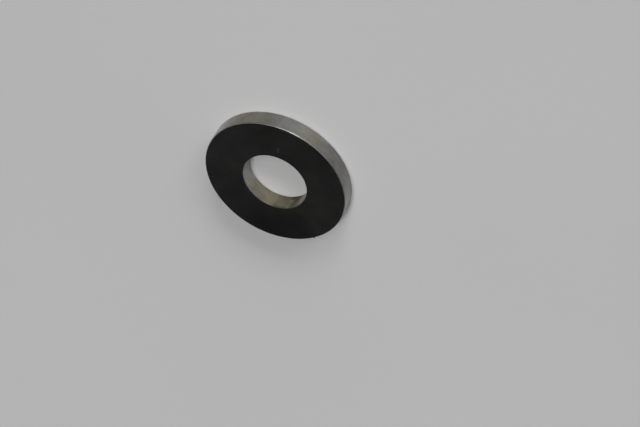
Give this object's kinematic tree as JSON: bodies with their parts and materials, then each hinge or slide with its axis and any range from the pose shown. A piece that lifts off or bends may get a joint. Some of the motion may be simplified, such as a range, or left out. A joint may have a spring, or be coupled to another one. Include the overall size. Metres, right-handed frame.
{
  "type": "weld washer",
  "caption": "Flat round steel ring with a plain central bore, black scale on both flat faces, bare turned rim and bore, and lightly broken edges.",
  "frame": {"origin": "centre of the lower flat face, the face that the washer rests on", "axes": "+Z along the washer's axis, up through the bore; X and Y lie in the lower flat face and are free, because the ring is round"},
  "size_m": [0.0286, 0.0286, 0.0034],
  "materials": {
    "washer_steel": "black rolled scale on the two flat faces, bare turned steel with fine circumferential marks on the rim, the bore and the broken edges"
  },
  "bodies": {
    "root": {"washer": "washer_steel"}
  },
  "joints": []
}
